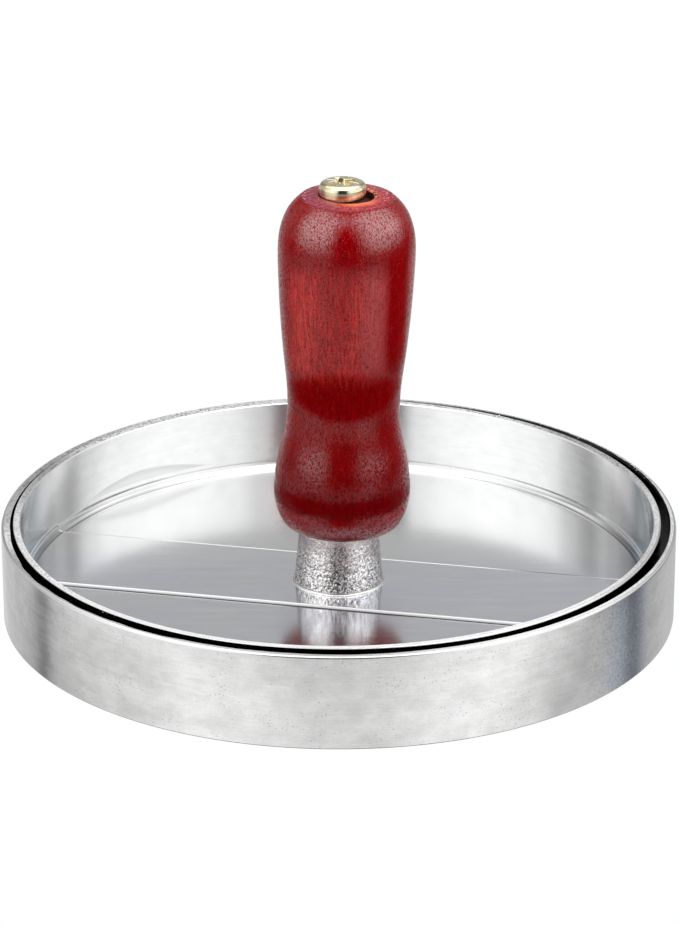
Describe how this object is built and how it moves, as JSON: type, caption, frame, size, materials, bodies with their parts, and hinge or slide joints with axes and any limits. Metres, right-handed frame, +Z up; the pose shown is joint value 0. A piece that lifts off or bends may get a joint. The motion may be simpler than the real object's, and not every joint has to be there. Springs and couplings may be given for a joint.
{
  "type": "burger press",
  "caption": "Round hand press for patties: open aluminium mould ring with a cup-shaped press plate that drops into it, lifted by a red turned wooden grip on a central boss.",
  "frame": {"origin": "centre of the mould ring's outside, on the surface the press stands on", "axes": "+Z up along the ring's axis towards the grip, +X to the right and -Y towards the viewer in the picture"},
  "size_m": [0.12, 0.12, 0.0799],
  "materials": {
    "ring_aluminium": "turned and brushed, bright",
    "plate_aluminium": "cast, floor and rim machined bright, boss left as cast",
    "yellow_zinc": "yellow zinc plated steel, bright",
    "red_wood": "turned hardwood, red stain under gloss lacquer"
  },
  "bodies": {
    "ring": {"mould_ring": "ring_aluminium"},
    "plunger": {"press_plate": "plate_aluminium", "grip_screw": "yellow_zinc"},
    "grip": {"wooden_grip": "red_wood"}
  },
  "joints": [
    {"name": "plunger_lift", "type": "slide", "parent": "ring", "child": "plunger", "axis": [0, 0, 1], "range_m": [0, 0.06]},
    {"name": "grip_turn", "type": "hinge", "parent": "plunger", "child": "grip", "pos_m": [0.00068, 0, 0.0468], "axis": [0, 0, 1], "continuous": true}
  ]
}
